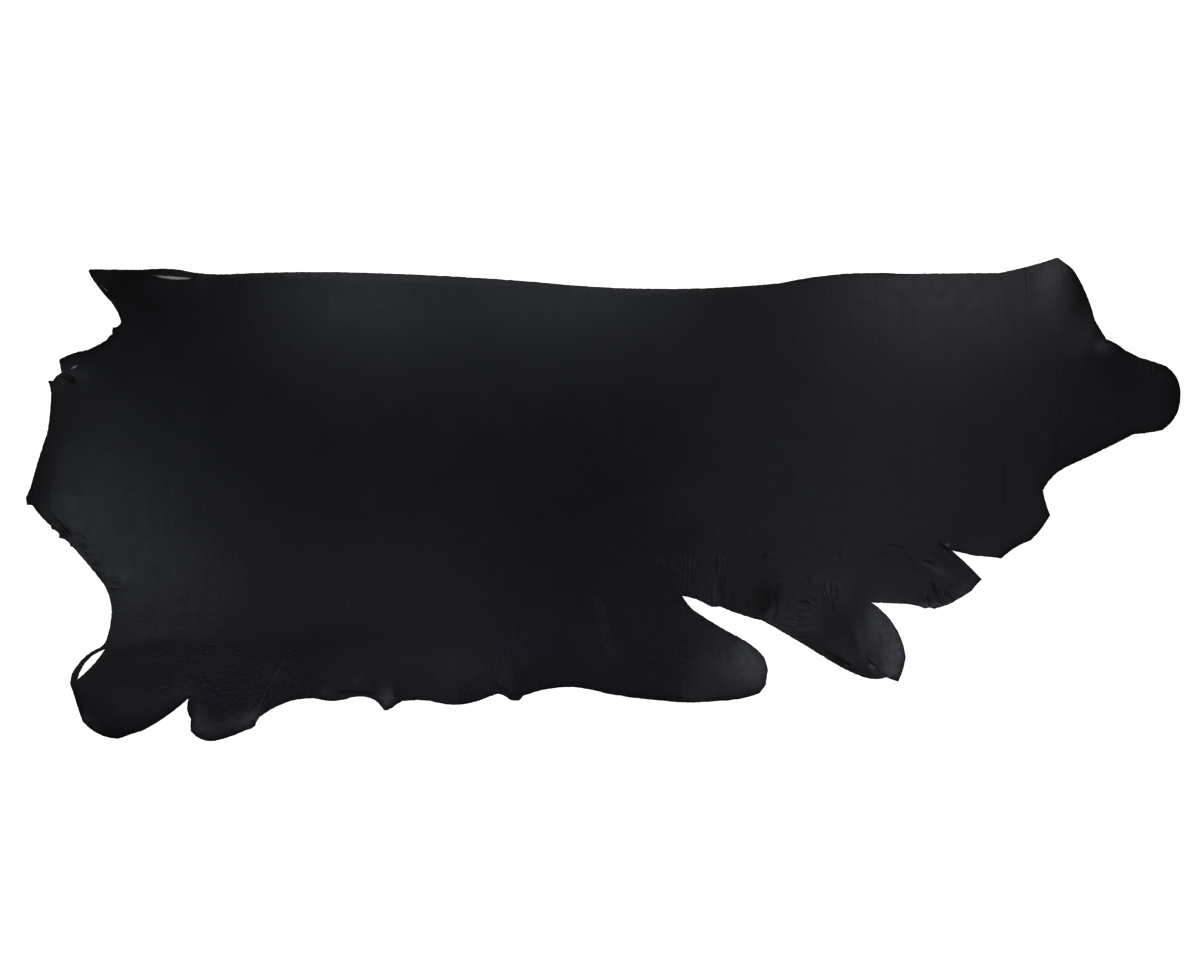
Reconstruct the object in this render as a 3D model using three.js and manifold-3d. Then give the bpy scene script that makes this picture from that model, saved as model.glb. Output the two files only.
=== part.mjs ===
// A leather side: half of a cattle hide, split along the backbone, dyed black and laid out grain side up.
// It is one piece of leather of even thickness, trimmed by knife, with a few slits and lifted edges.
// Millimetres. +X runs from the butt to the cheek, +Y from the belly to the backbone, +Z up.
// The origin lies on the surface under the middle of the hide's box.

import * as THREE from "three";
import { mergeVertices } from "three/addons/utils/BufferGeometryUtils.js";
import Module from "manifold-3d";

// Driving dimensions
const THICKNESS = 3;
const COLUMN_PITCH = 32;
const ROW_COUNT = 28;
const ROW_GRADE = 1.35;
const MARGIN = 23;
const CURVE_ERROR = 0.2;
const WELD = 1e-3;
const LEATHER = { color: 0x1b1b1e, roughness: 0.5, metalness: 0 };

// The trimmed edge, clockwise from the tip of the tail flap.
// Each row is one bay or lobe: where it ends, and how far its middle bows out of the straight line
// from the end of the row before (a negative bow cuts into the hide).
const TAIL_TIP = { x: -1154, y: 517 };
const EDGE = {
  backbone: [
    { x: -1035, y: 516, bow: 0 },
    { x: -952, y: 516, bow: 2.5 },
    { x: -848, y: 506, bow: -3.5 },
    { x: -603, y: 511, bow: 2 },
    { x: -142, y: 488, bow: 3.5 },
    { x: 398, y: 486, bow: -14 },
    { x: 679, y: 507, bow: 10 },
    { x: 893, y: 509, bow: 0 },
    { x: 1022, y: 543, bow: -2 },
  ],
  neck: [
    { x: 1057, y: 516, bow: 1 },
    { x: 1106, y: 403, bow: 6 },
    { x: 1132, y: 360, bow: 0 },
  ],
  cheek: [
    { x: 1174, y: 336, bow: 2.5 },
    { x: 1206, y: 319, bow: 0 },
    { x: 1268, y: 299, bow: 1 },
    { x: 1299, y: 228, bow: 10.5 },
    { x: 1258, y: 155, bow: 11 },
  ],
  jaw: [
    { x: 1195, y: 146, bow: 1.5 },
    { x: 1051, y: 76, bow: 1 },
    { x: 990, y: 20, bow: -7.5 },
    { x: 1006, y: -36, bow: -2 },
  ],
  jowl: [
    { x: 962, y: -93, bow: 3 },
    { x: 896, y: -134, bow: -4.5 },
    { x: 839, y: -128, bow: -1 },
    { x: 786, y: -116, bow: 0 },
  ],
  throatFlap: [
    { x: 852, y: -180, bow: 1 },
    { x: 828, y: -207, bow: 0 },
    { x: 776, y: -238, bow: 1 },
    { x: 745, y: -247, bow: 0 },
    { x: 736, y: -244, bow: 0 },
    { x: 724, y: -246, bow: 0 },
    { x: 686, y: -236, bow: -1 },
    { x: 604, y: -233, bow: 0 },
  ],
  brisket: [
    { x: 680, y: -355, bow: 16.5 },
    { x: 663, y: -410, bow: 2 },
    { x: 637, y: -400, bow: 1 },
    { x: 587, y: -401, bow: 3.5 },
    { x: 506, y: -361, bow: 2.5 },
    { x: 360, y: -274, bow: -1 },
    { x: 263, y: -242, bow: 2.5 },
    { x: 245, y: -243, bow: 0 },
    { x: 209, y: -225, bow: 0 },
    { x: 179, y: -218, bow: -0.5 },
  ],
  foreShank: [
    { x: 205, y: -251, bow: -2 },
    { x: 319, y: -318, bow: -2 },
    { x: 362, y: -355, bow: 2.5 },
    { x: 371, y: -384, bow: 1 },
    { x: 365, y: -420, bow: 0.5 },
    { x: 352, y: -437, bow: 0 },
    { x: 261, y: -454, bow: 4.5 },
    { x: 146, y: -455, bow: 3.5 },
    { x: 9, y: -438, bow: 1.5 },
    { x: -70, y: -423, bow: -2 },
  ],
  belly: [
    { x: -178, y: -442, bow: -5 },
    { x: -189, y: -453, bow: 0 },
    { x: -208, y: -452, bow: 1 },
    { x: -236, y: -438, bow: -2.5 },
    { x: -277, y: -453, bow: -0.5 },
    { x: -385, y: -455, bow: 9 },
    { x: -452, y: -455, bow: -2.5 },
    { x: -483, y: -475, bow: -0.5 },
    { x: -492, y: -475, bow: 0 },
    { x: -515, y: -451, bow: -1.5 },
    { x: -574, y: -449, bow: -5.5 },
    { x: -644, y: -449, bow: 5.5 },
    { x: -702, y: -454, bow: -2 },
    { x: -772, y: -490, bow: -3.5 },
    { x: -782, y: -510, bow: -1.5 },
  ],
  flank: [
    { x: -801, y: -519, bow: 1.5 },
    { x: -873, y: -544, bow: 2.5 },
    { x: -928, y: -521, bow: 8.5 },
    { x: -928, y: -495, bow: 0 },
    { x: -936, y: -472, bow: 1 },
    { x: -933, y: -449, bow: 1 },
  ],
  hindShank: [
    { x: -1037, y: -522, bow: 4 },
    { x: -1089, y: -539, bow: -1 },
    { x: -1172, y: -498, bow: 11 },
    { x: -1198, y: -418, bow: 0 },
    { x: -1186, y: -378, bow: 4.5 },
    { x: -1131, y: -333, bow: 5.5 },
    { x: -1120, y: -322, bow: -0.8 },
    { x: -1106, y: -253, bow: -3 },
    { x: -1123, y: -193, bow: -4 },
    { x: -1194, y: -107, bow: -1.5 },
  ],
  tornRump: [
    { x: -1199, y: -107, bow: 0 },
    { x: -1199, y: -103, bow: 0 },
    { x: -1224, y: -88, bow: -4 },
    { x: -1224, y: -79, bow: 0 },
    { x: -1240, y: -68, bow: -2 },
    { x: -1243, y: -60, bow: 0 },
    { x: -1284, y: -14, bow: 2 },
    { x: -1296, y: -13, bow: 0 },
    { x: -1299, y: 2, bow: 0 },
  ],
  butt: [
    { x: -1288, y: 28, bow: 0 },
    { x: -1253, y: 143, bow: 1 },
    { x: -1249, y: 156, bow: 0 },
    { x: -1242, y: 237, bow: -1 },
    { x: -1249, y: 266, bow: -1 },
    { x: -1237, y: 267, bow: 0 },
    { x: -1218, y: 284, bow: 2 },
    { x: -1223, y: 314, bow: 0 },
  ],
  tailNotch: [
    { x: -1159, y: 336, bow: 3 },
    { x: -1116, y: 359, bow: -1 },
    { x: -1104, y: 372, bow: 2 },
    { x: -1103, y: 386, bow: 1 },
    { x: -1085, y: 399, bow: -4 },
    { x: -1109, y: 446, bow: -3 },
    { x: -1135, y: 477, bow: 1 },
    { x: -1157, y: 513, bow: 2 },
  ],
};

// Slits that have opened into lenses: the two ends, and how far each lip stands off the line between them.
const SLITS = [
  { at: "under the tail root", x1: -1014, y1: 504, x2: -919, y2: 497, upper: 0.5, lower: 6.5 },
  { at: "tail notch", x1: -1124, y1: 476, x2: -1111, y2: 464, upper: 1.3, lower: 1.3 },
  { at: "butt corner", x1: -1198, y1: 291, x2: -1181, y2: 301, upper: 2.6, lower: 2.2 },
  { at: "hind shank", x1: -1182, y1: -405, x2: -1121, y2: -338, upper: 12.2, lower: 3.6 },
];

// Folds that lift the hide off the surface. A crest runs from point 1 to point 2, where it stands rise1 and
// rise2 high, and the leather comes down again over the reach on each side. Crests on or past the edge lift it.
const FOLDS = [
  { at: "neck corner", x1: 1042, y1: 539, x2: 1064, y2: 404, reach: 80, rise1: 10, rise2: 3 },
  { at: "poll", x1: 1109, y1: 368, x2: 1127, y2: 332, reach: 60, rise1: 6, rise2: 2 },
  { at: "cheek tip", x1: 1307, y1: 278, x2: 1307, y2: 188, reach: 120, rise1: 4, rise2: 3 },
  { at: "jaw bay", x1: 990, y1: 26, x2: 1010, y2: -37, reach: 70, rise1: 2, rise2: 4 },
  { at: "jowl", x1: 969, y1: -91, x2: 895, y2: -136, reach: 75, rise1: 3, rise2: 5 },
  { at: "throat flap tip", x1: 855, y1: -177, x2: 837, y2: -204, reach: 85, rise1: 4, rise2: 3 },
  { at: "throat flap hem", x1: 794, y1: -229, x2: 758, y2: -177, reach: 36, rise1: 3, rise2: 0 },
  { at: "throat flap middle", x1: 742, y1: -249, x2: 717, y2: -163, reach: 40, rise1: 4, rise2: 0 },
  { at: "throat flap root", x1: 690, y1: -235, x2: 668, y2: -170, reach: 42, rise1: 2, rise2: 0 },
  { at: "brisket edge", x1: 682, y1: -316, x2: 664, y2: -411, reach: 115, rise1: 10, rise2: 18 },
  { at: "brisket hem", x1: 522, y1: -370, x2: 605, y2: -406, reach: 50, rise1: 6, rise2: 9 },
  { at: "breast", x1: 353, y1: -226, x2: 533, y2: -226, reach: 90, rise1: 3, rise2: 5 },
  { at: "elbow", x1: 182, y1: -217, x2: 229, y2: -91, reach: 70, rise1: 4, rise2: 1 },
  { at: "fore shank lip", x1: 218, y1: -262, x2: 308, y2: -316, reach: 45, rise1: 3, rise2: 5 },
  { at: "fore shank tip", x1: 375, y1: -352, x2: 364, y2: -438, reach: 85, rise1: 6, rise2: 5 },
  { at: "fore shank hem", x1: 173, y1: -460, x2: 38, y2: -445, reach: 70, rise1: 4, rise2: 3 },
  { at: "belly", x1: -614, y1: -350, x2: -142, y2: -339, reach: 110, rise1: 3, rise2: 3 },
  { at: "second belly point", x1: -198, y1: -458, x2: -205, y2: -366, reach: 40, rise1: 8, rise2: 0 },
  { at: "belly hem", x1: -331, y1: -467, x2: -340, y2: -397, reach: 50, rise1: 5, rise2: 0 },
  { at: "first belly point", x1: -487, y1: -478, x2: -493, y2: -379, reach: 42, rise1: 9, rise2: 0 },
  { at: "groin hem", x1: -608, y1: -460, x2: -601, y2: -388, reach: 42, rise1: 6, rise2: 0 },
  { at: "flank crease", x1: -779, y1: -505, x2: -704, y2: -339, reach: 48, rise1: 5, rise2: 1 },
  { at: "flank lobe", x1: -880, y1: -548, x2: -821, y2: -530, reach: 65, rise1: 5, rise2: 3 },
  { at: "hind shank notch", x1: -986, y1: -487, x2: -938, y2: -454, reach: 45, rise1: 2, rise2: 3 },
  { at: "hind shank", x1: -1225, y1: -450, x2: -1060, y2: -545, reach: 130, rise1: 4, rise2: 2 },
  { at: "butt", x1: -1205, y1: 150, x2: -1235, y2: 5, reach: 75, rise1: 2, rise2: 5 },
  { at: "butt corner", x1: -1217, y1: 309, x2: -1166, y2: 332, reach: 70, rise1: 6, rise2: 4 },
  { at: "tail flap", x1: -1154, y1: 518, x2: -1132, y2: 467, reach: 75, rise1: 8, rise2: 3 },
  { at: "tail root", x1: -1015, y1: 514, x2: -916, y2: 505, reach: 38, rise1: 4, rise2: 3 },
];

const wasm = await Module();
wasm.setup();

// Points along a curve whose middle stands off the line from start to end by bow, to the left of the way.
function bowedPoints(start, end, bow) {
  const along = end.clone().sub(start);
  const left = new THREE.Vector2(-along.y, along.x).normalize();
  const control = start.clone().lerp(end, 0.5).addScaledVector(left, 2 * bow);
  const pieces = Math.max(1, Math.ceil(Math.sqrt(Math.abs(bow) / CURVE_ERROR)));
  return new THREE.QuadraticBezierCurve(start, control, end).getPoints(pieces).slice(1);
}

function edgePoints() {
  const points = [new THREE.Vector2(TAIL_TIP.x, TAIL_TIP.y)];
  for (const row of Object.values(EDGE).flat()) {
    points.push(...bowedPoints(points.at(-1), new THREE.Vector2(row.x, row.y), row.bow));
  }
  return points;
}

// A slit's two lips, counter-clockwise, because the edge runs clockwise.
function slitPoints(slit) {
  const start = new THREE.Vector2(slit.x1, slit.y1);
  const end = new THREE.Vector2(slit.x2, slit.y2);
  return [...bowedPoints(start, end, -slit.lower), ...bowedPoints(end, start, -slit.upper)];
}

// The outline as a tall prism with the slits cut through.
function outlinePrism(points, height) {
  const outline = new THREE.Shape(points);
  outline.holes = SLITS.map((slit) => new THREE.Path(slitPoints(slit)));
  const prism = new THREE.ExtrudeGeometry(outline, { depth: height, bevelEnabled: false });
  return prism.translate(0, 0, -MARGIN);
}

// How high one fold lifts the leather at a point: full on its crest, easing to nothing at its reach.
function foldLift(fold, point) {
  const start = new THREE.Vector2(fold.x1, fold.y1);
  const crest = new THREE.Vector2(fold.x2, fold.y2).sub(start);
  const offset = point.clone().sub(start);
  const share = THREE.MathUtils.clamp(offset.dot(crest) / crest.lengthSq(), 0, 1);
  const distance = offset.addScaledVector(crest, -share).length();
  if (distance >= fold.reach) {
    return 0;
  }
  const rise = THREE.MathUtils.lerp(fold.rise1, fold.rise2, share);
  return rise * Math.cos((Math.PI / 2) * (distance / fold.reach)) ** 2;
}

function liftAt(point) {
  return FOLDS.reduce((lift, fold) => lift + foldLift(fold, point), 0);
}

// A sheet of leather over the whole box of the outline, laid over the folds.
// Its rows are closest along the belly, where the folds are.
function foldedSheet(box) {
  const area = box.clone().expandByScalar(MARGIN);
  const size = area.getSize(new THREE.Vector2());
  const columns = Math.round(size.x / COLUMN_PITCH);
  const sheet = new THREE.BoxGeometry(size.x, size.y, THICKNESS, columns, ROW_COUNT, 1);
  sheet.translate(area.min.x + size.x / 2, size.y / 2, THICKNESS / 2);
  const place = sheet.getAttribute("position");
  for (let i = 0; i < place.count; i++) {
    const share = THREE.MathUtils.clamp(place.getY(i) / size.y, 0, 1);
    const y = area.min.y + size.y * share ** ROW_GRADE;
    const lift = liftAt(new THREE.Vector2(place.getX(i), y));
    place.setXYZ(i, place.getX(i), y, place.getZ(i) + lift);
  }
  return sheet;
}

function solidFrom(geometry) {
  const bare = geometry.clone();
  bare.deleteAttribute("normal");
  bare.deleteAttribute("uv");
  const merged = mergeVertices(bare, WELD);
  const vertProperties = merged.getAttribute("position").array;
  const triVerts = new Uint32Array(merged.index.array);
  return new wasm.Manifold(new wasm.Mesh({ numProp: 3, vertProperties, triVerts }));
}

function geometryFrom(solid) {
  const mesh = solid.getMesh();
  const geometry = new THREE.BufferGeometry();
  geometry.setAttribute("position", new THREE.BufferAttribute(mesh.vertProperties, 3));
  geometry.setIndex(new THREE.BufferAttribute(mesh.triVerts, 1));
  geometry.computeVertexNormals();
  return geometry;
}

// The folded sheet trimmed to the outline, centred over the origin.
function leatherSide() {
  const points = edgePoints();
  const box = new THREE.Box2().setFromPoints(points);
  const sheet = foldedSheet(box);
  sheet.computeBoundingBox();
  const height = sheet.boundingBox.max.z + 2 * MARGIN;
  const hide = solidFrom(sheet).intersect(solidFrom(outlinePrism(points, height)));
  const middle = box.getCenter(new THREE.Vector2());
  const geometry = geometryFrom(hide).translate(-middle.x, -middle.y, 0);
  const mesh = new THREE.Mesh(geometry, new THREE.MeshStandardMaterial(LEATHER));
  mesh.name = "leather_side";
  return mesh;
}

const group = new THREE.Group();
group.add(leatherSide());

export default group;
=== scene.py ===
"""A black leather side, laid flat with its grain side up and seen from straight above.

The hide is one thin sheet on the folds of its solid. Its creases, swells and tones, painted sheen and
painted shade among the tones, are short tables in millimetres, in the part's own frame: +X runs from the
butt to the cheek, +Y from the belly to the backbone.
"""

from collections import namedtuple

import bmesh
import bpy
import numpy as np
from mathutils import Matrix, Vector
from mathutils.bvhtree import BVHTree
from mathutils.geometry import delaunay_2d_cdt
from mathutils.kdtree import KDTree


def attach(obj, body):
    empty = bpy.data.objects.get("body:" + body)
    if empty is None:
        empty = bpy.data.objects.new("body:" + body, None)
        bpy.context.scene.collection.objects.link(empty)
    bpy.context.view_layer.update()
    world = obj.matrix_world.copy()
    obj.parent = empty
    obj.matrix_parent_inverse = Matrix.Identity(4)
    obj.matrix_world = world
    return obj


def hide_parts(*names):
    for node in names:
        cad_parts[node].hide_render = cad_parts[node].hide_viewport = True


MM = 0.001
SEED = 11

# The sheet, in metres. The flat size is that of the knife-cut hide before its corners lift.
THICKNESS = 0.003
THINNEST = 0.0008

# How far apart the sheet's points stand, in metres. Near a crease the step is the largest of CREASE_STEPS
# that fits in a share of its width, and in a groove the smallest. Rows stand a share of a step apart.
# A point strays by a share of its step, and keeps another share clear of the edge.
EDGE_STEP = 0.0045
PLAIN_STEP = 0.0108
CREASE_STEPS = (0.0012, 0.0017, 0.0028, 0.0060)
STEP_SHARE = 0.75
UNDER_STEP = 0.032
ROW_SHARE = np.sqrt(0.75)
JITTER = 0.14
CLEARANCE = 0.55

# The cut edge, in metres: the grain side's rim along it, the rim's drop, and the ragged fibres of the cut.
# A rim point keeps a share of the rim's width clear of the edge, and the rim gets a share of painted shade.
# The edge has a corner where it turns by more than CORNER_TURN, in radians.
RIM_WIDTH = 0.0014
RIM_DROP = 0.0002
RIM_CLEARANCE = 0.8
RIM_SHADE = 0.7
FIBRE_REACH = 0.0003
CORNER_TURN = 0.4

# Reading the solid, in metres: points closer than the gap are one, a face whose normal rises more than
# UPWARD is on the grain side, and rays look down from HIGH.
WELD_GAP = 0.00001
UPWARD = 0.5
HIGH = 1.0

# The solid's facets are softened by taking the mean height over rings around each point, in metres.
SOFT_RINGS = (0.009, 0.018)
RING_POINTS = 8

# Blender's triangles over points: only those inside the loops. Points closer than this, in metres, are one.
INSIDE_LOOPS = 1
SAME_POINT = 1e-7

# A crease is followed as a chain of short lines, even a short one over the fewest points. It wavers from
# side to side, its depth wanders, and its shoulders stand up beside it. Lengths here are in crease widths,
# and shares are of its width or depth. The lower the taper, the nearer to its ends a crease keeps its depth.
CHAIN_STEP = 2.0
FEWEST_POINTS = 3
WAVER_SHARE = 0.5
WAVE_LENGTH = 12.0
WANDER_SHARE = 0.35
WANDER_LENGTH = 24.0
SHOULDER_SHARE = 0.5
SHOULDER_PLACE = 1.8
CREASE_REACH = 2.8
TAPER = 0.6

# A crease deeper than the first share of its width is a groove. Full painted shade in a trough, or painted
# highlight on a ridge, comes at the second share, and the tops of ridges and swells get a painted highlight
# at the third share of the painted sheen.
GROOVE_SHARE = 0.5
TONE_SHARE = 0.7
PAINTED_HIGHLIGHT_SHARE = 0.4

# Creases in millimetres, from point 1 to point 2, with the middle bowed to the left of the way.
# The width is from the middle to the shoulder. A negative depth is a ridge.
Crease = namedtuple("Crease", "x1 y1 x2 y2 bow width depth")
CREASES = [
    # Elbow, down to the slit behind the fore shank
    Crease(254, -98, 248, -178, -3, 1.8, -0.5),
    Crease(262, -100, 258, -180, 2, 1.7, -0.4),
    Crease(257, -110, 253, -176, 1, 1.9, 1.3),
    Crease(250, -165, 249, -238, 3, 2.2, -0.7),
    Crease(243, -196, 242, -236, 0, 2.5, 0.6),
    Crease(264, -176, 262, -236, 0, 5, 0.4),
    Crease(266, -121, 277, -160, 0, 1.6, -0.3),
    Crease(279, -124, 268, -160, 0, 1.6, -0.3),
    Crease(272, -172, 271, -238, 1, 2, 0.7),
    Crease(281, -204, 279, -240, 0, 1.8, -0.4),
    Crease(205, -112, 203, -190, 1, 1.6, -0.3),
    Crease(200, -110, 197, -195, 1, 1.6, 0.45),
    Crease(195, -112, 190, -200, 2, 1.6, -0.35),
    Crease(190, -115, 185, -205, 2, 1.6, 0.5),
    Crease(185, -118, 180, -210, 2, 1.6, -0.3),
    Crease(180, -130, 175, -212, 1, 1.6, 0.4),
    Crease(174, -140, 170, -214, 1, 1.6, -0.25),
    Crease(165, -130, 160, -205, 1, 1.6, 0.3),
    # Breast
    Crease(366, -119, 368, -135, 0, 2.2, 2.0),
    Crease(389, -190, 389, -280, -2, 5, 0.6),
    # The fan of the brisket
    Crease(401, -264, 452, -279, 2, 1.6, 0.8),
    Crease(405, -247, 444, -262, 1, 1.6, 0.5),
    Crease(419, -238, 452, -259, 1, 1.6, 0.6),
    Crease(439, -223, 470, -251, 1, 1.6, 0.9),
    Crease(453, -206, 492, -243, 2, 1.6, 0.8),
    Crease(470, -204, 494, -246, -1, 1.6, 0.5),
    Crease(490, -196, 489, -236, 0, 1.7, -0.3),
    Crease(495, -190, 494, -234, 1, 1.6, 0.7),
    Crease(502, -188, 503, -234, 0, 1.7, -0.3),
    Crease(513, -184, 516, -236, -1, 1.6, 0.9),
    Crease(519, -188, 521, -234, 0, 1.7, -0.25),
    Crease(524, -190, 527, -226, 0, 2.0, 1.2),
    Crease(517, -226, 520, -254, 0, 1.6, 0.6),
    Crease(535, -108, 533, -132, 0, 2, 0.5),
    Crease(410, -286, 476, -281, -2, 1.6, 0.6),
    Crease(421, -299, 464, -304, 1, 1.8, 1.0),
    Crease(437, -309, 484, -319, 2, 1.7, 0.8),
    # The brisket's curled lip, valley and lifted flap
    Crease(495, -332, 556, -374, -4, 3.5, 2.2),
    Crease(557, -298, 560, -376, 0, 11, 1.0),
    Crease(590, -353, 636, -401, 1, 2.4, 2.4),
    # Throat flap
    Crease(618, -106, 717, -143, 5, 2.4, -0.4),
    Crease(607, -104, 650, -112, 3, 3, -0.3),
    Crease(630, -102, 682, -114, 4, 2, 0.7),
    Crease(717, -143, 766, -169, 2, 2.4, -0.8),
    Crease(721, -136, 752, -152, 1, 1.9, 1.8),
    Crease(764, -167, 804, -196, 2, 2.4, -0.5),
    Crease(735, -184, 768, -252, 3, 2.2, 2.0),
    Crease(730, -214, 736, -256, 1, 2, 1.6),
    Crease(745, -205, 764, -244, 1, 1.7, 0.8),
    Crease(771, -206, 796, -236, 1, 2, 1.5),
    Crease(752, -96, 786, -122, 1, 1.9, 2.2),
    # Fore shank
    Crease(-20, -215, -4, -270, 3, 8, -0.7),
    Crease(-5, -262, 36, -366, -6, 8, -0.75),
    Crease(43, -271, 43, -362, 0, 8, 0.3),
    Crease(162, -350, 214, -368, 2, 5, 0.2),
    # Flank
    Crease(-706, -352, -752, -428, -4, 2.2, -0.6),
    Crease(-752, -426, -780, -490, -3, 2.2, -0.5),
    Crease(-738, -412, -772, -488, -4, 2.4, 1.0),
    Crease(-724, -402, -753, -462, -2, 2.2, -0.3),
    Crease(-738, -376, -702, -386, 1, 2, 0.5),
    Crease(-711, -346, -684, -333, 1, 2, -0.4),
    Crease(-684, -352, -655, -340, 0, 4, 0.35),
    Crease(-889, -443, -781, -416, -4, 1.8, -0.25),
    # The soft line where the belly begins, from the flank to the elbow
    Crease(-690, -165, -410, -110, 10, 13, -0.3),
    Crease(-420, -115, -95, -45, -8, 12, -0.3),
    Crease(-100, -46, 200, 8, 6, 13, -0.25),
    # Belly
    Crease(-576, -246, -558, -211, 0, 1.8, -0.6),
    Crease(-531, -236, -522, -218, 0, 1.8, -0.5),
    Crease(-695, -177, -637, -178, 1, 3, 0.45),
    Crease(-585, -152, -493, -150, -2, 4, 0.35),
    Crease(-473, -428, -466, -452, 1, 2.4, 1.6),
    Crease(-601, -434, -520, -440, 2, 3, 1.0),
    Crease(-243, -416, -200, -452, 2, 2.6, 1.8),
    Crease(-155, -400, -150, -432, 0, 3, 0.8),
    # The hock, from the slit to the flank
    Crease(-1128, -324, -842, -300, -6, 22, -0.5),
    # Butt and tail
    Crease(-1236, -40, -1195, -86, 1, 2.4, 2.4),
    Crease(-1031, 336, -1001, 352, 1, 4, -0.25),
    Crease(-1216, 276, -1186, 268, 1, 4, 1.2),
    # Neck
    Crease(716, 503, 716, 314, 1, 3, 0.06),
    Crease(777, 380, 777, 309, 0, 3, 0.05),
    Crease(603, 393, 603, 314, 0, 3, 0.04),
    Crease(1008, 158, 1006, 96, 2, 14, -0.2),
]

# Bunches of fine wrinkles in millimetres. Their middles stand along the way from point 1 to point 2, bowed
# as a crease is. Turn is the first one's direction in degrees from +X, and fan is how far it turns to the
# last. Every other wrinkle is a ridge between the troughs, at a share of their depth. A negative depth has
# them the other way round. The rest is how unlike they are: shares of the length, the width or the depth,
# and degrees.
RIDGE_SHARE = 0.35
STRAY_SHARE = 0.1
STRAY_TURN = 7
STRAY_BOW = 0.055
HALF_LENGTHS = (0.2, 0.6)
WIDTHS = (0.8, 1.3)
DEPTHS = (0.4, 1.4)
Bunch = namedtuple("Bunch", "x1 y1 x2 y2 bow count turn fan length width depth")
BUNCHES = [
    # The fan of the brisket, and the breast
    Bunch(440, -280, 506, -208, 22, 42, 186, -94, 52, 1.6, 0.75),
    Bunch(405, -283, 470, -321, 0, 12, -8, -10, 46, 1.6, 0.6),
    Bunch(391, -170, 391, -192, 0, 6, -5, 0, 30, 1.7, 0.5),
    # The brisket's lifted flap
    Bunch(575, -290, 655, -282, 0, 14, 98, -18, 100, 2.6, -0.16),
    # Throat flap
    Bunch(716, -232, 806, -212, 0, 20, -80, 42, 32, 1.6, 0.5),
    Bunch(630, -112, 750, -180, 0, 11, -24, -10, 60, 1.6, 0.35),
    Bunch(775, -195, 815, -200, 0, 8, -40, 15, 30, 1.7, -0.35),
    # Elbow
    Bunch(130, -140, 200, -150, 0, 16, 90, 0, 46, 1.7, -0.25),
    Bunch(263, -110, 283, -200, 0, 8, 90, 0, 46, 1.7, -0.25),
    Bunch(322, -230, 335, -245, 0, 6, 90, 0, 26, 1.7, 0.6),
    Bunch(160, -232, 182, -252, 0, 7, 30, 20, 22, 1.7, 0.35),
    Bunch(214, -208, 234, -226, 0, 6, -40, 0, 22, 1.7, 0.5),
    # Flank and belly
    Bunch(-826, -370, -808, -415, 0, 6, 0, 6, 24, 2, 0.14),
    Bunch(-317, -432, -288, -438, 0, 6, 70, 30, 22, 2, 0.5),
    # Rump and hock
    Bunch(-1183, -76, -1143, -150, 0, 24, 0, 8, 28, 1.7, 0.35),
    Bunch(-1104, -190, -1096, -250, 0, 18, 4, -6, 36, 1.6, 0.3),
    Bunch(-1040, -225, -1030, -298, 0, 8, 0, 5, 70, 2.8, 0.06),
    # Neck and cheek
    Bunch(700, 490, 1010, 508, 0, 32, 90, 3, 44, 3.2, 0.07),
    Bunch(945, 500, 1030, 500, 0, 14, 88, 5, 70, 3, 0.12),
    Bunch(1201, 300, 1231, 293, 0, 5, 90, 0, 26, 2, 0.25),
    # Finer ones in the fan and on the throat flap
    Bunch(404, -262, 502, -194, 30, 24, 174, -86, 36, 1.6, 0.4),
    Bunch(700, -150, 790, -205, 8, 10, -32, -8, 44, 1.6, 0.3),
]

# Small swells and hollows in millimetres: the middle, the reach along and across, the turn of the long way
# in degrees from +X, and the rise. A hollow's rise is negative. A swell's painted highlight, or a hollow's
# painted shade, is full at this rise.
TONE_RISE = 2.5
Swell = namedtuple("Swell", "x y along across turn rise")
SWELLS = [
    # Breast
    Swell(354, -230, 42, 28, 70, -2.4),
    Swell(371, -256, 15, 13, 0, 1.5),
    # Brisket and throat flap
    Swell(605, -375, 6, 5, -40, 2.0),
    Swell(600, -387, 8, 5, -30, -1.4),
    Swell(776, -104, 5, 4, 0, 1.2),
    # Flank
    Swell(-911, -501, 40, 18, -80, 1.5),
    Swell(-862, -508, 30, 14, 85, -0.6),
    Swell(-794, -501, 26, 15, 40, 2.2),
    Swell(-700, -355, 18, 12, 60, -0.8),
    # Belly
    Swell(-486, -447, 24, 17, 80, 2.2),
    Swell(-632, -436, 15, 12, 0, 1.2),
    Swell(-558, -415, 11, 9, 90, 0.7),
    Swell(-533, -420, 11, 9, 90, 0.6),
    # Rump
    Swell(-1193, -1, 8, 7, 0, 1.0),
    Swell(-1202, -19, 9, 6, 20, 1.0),
    Swell(-1078, -175, 17, 13, 60, 0.6),
    Swell(-1116, -168, 9, 8, 70, 0.9),
    # Poll and tail
    Swell(1140, 338, 17, 12, 30, 1.6),
    Swell(-1199, 271, 16, 9, -15, -1.5),
]
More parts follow.
